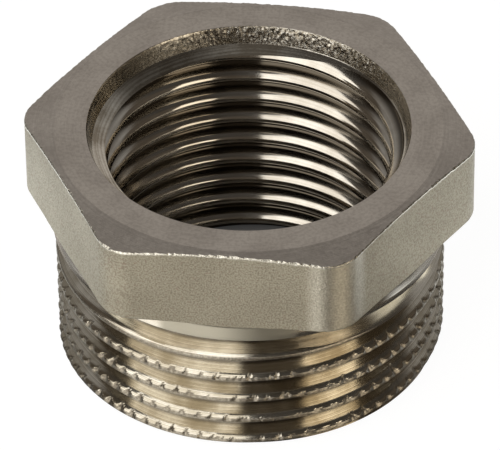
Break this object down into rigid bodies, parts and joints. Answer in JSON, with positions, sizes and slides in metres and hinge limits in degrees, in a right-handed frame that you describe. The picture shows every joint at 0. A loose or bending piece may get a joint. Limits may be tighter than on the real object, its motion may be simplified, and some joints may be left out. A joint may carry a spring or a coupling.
{
  "type": "hex bushing",
  "caption": "Reducing bushing with a hexagon head, an outside parallel pipe thread below an undercut and an inside pipe thread right through it.",
  "frame": {"origin": "on the thread axis in the plane of the threaded end face, the bottom centre of the object's box", "axes": "+Z along the thread axis from the threaded end to the hexagon's top face; -Y out of the hexagon flat that faces the viewer; X through two corners"},
  "size_m": [0.0304, 0.027, 0.0175],
  "materials": {
    "body": "nickel-plated brass: matt speckled hexagon flats, turned top face, bright threads"
  },
  "bodies": {
    "root": {"hex_bushing": "body"}
  },
  "joints": []
}
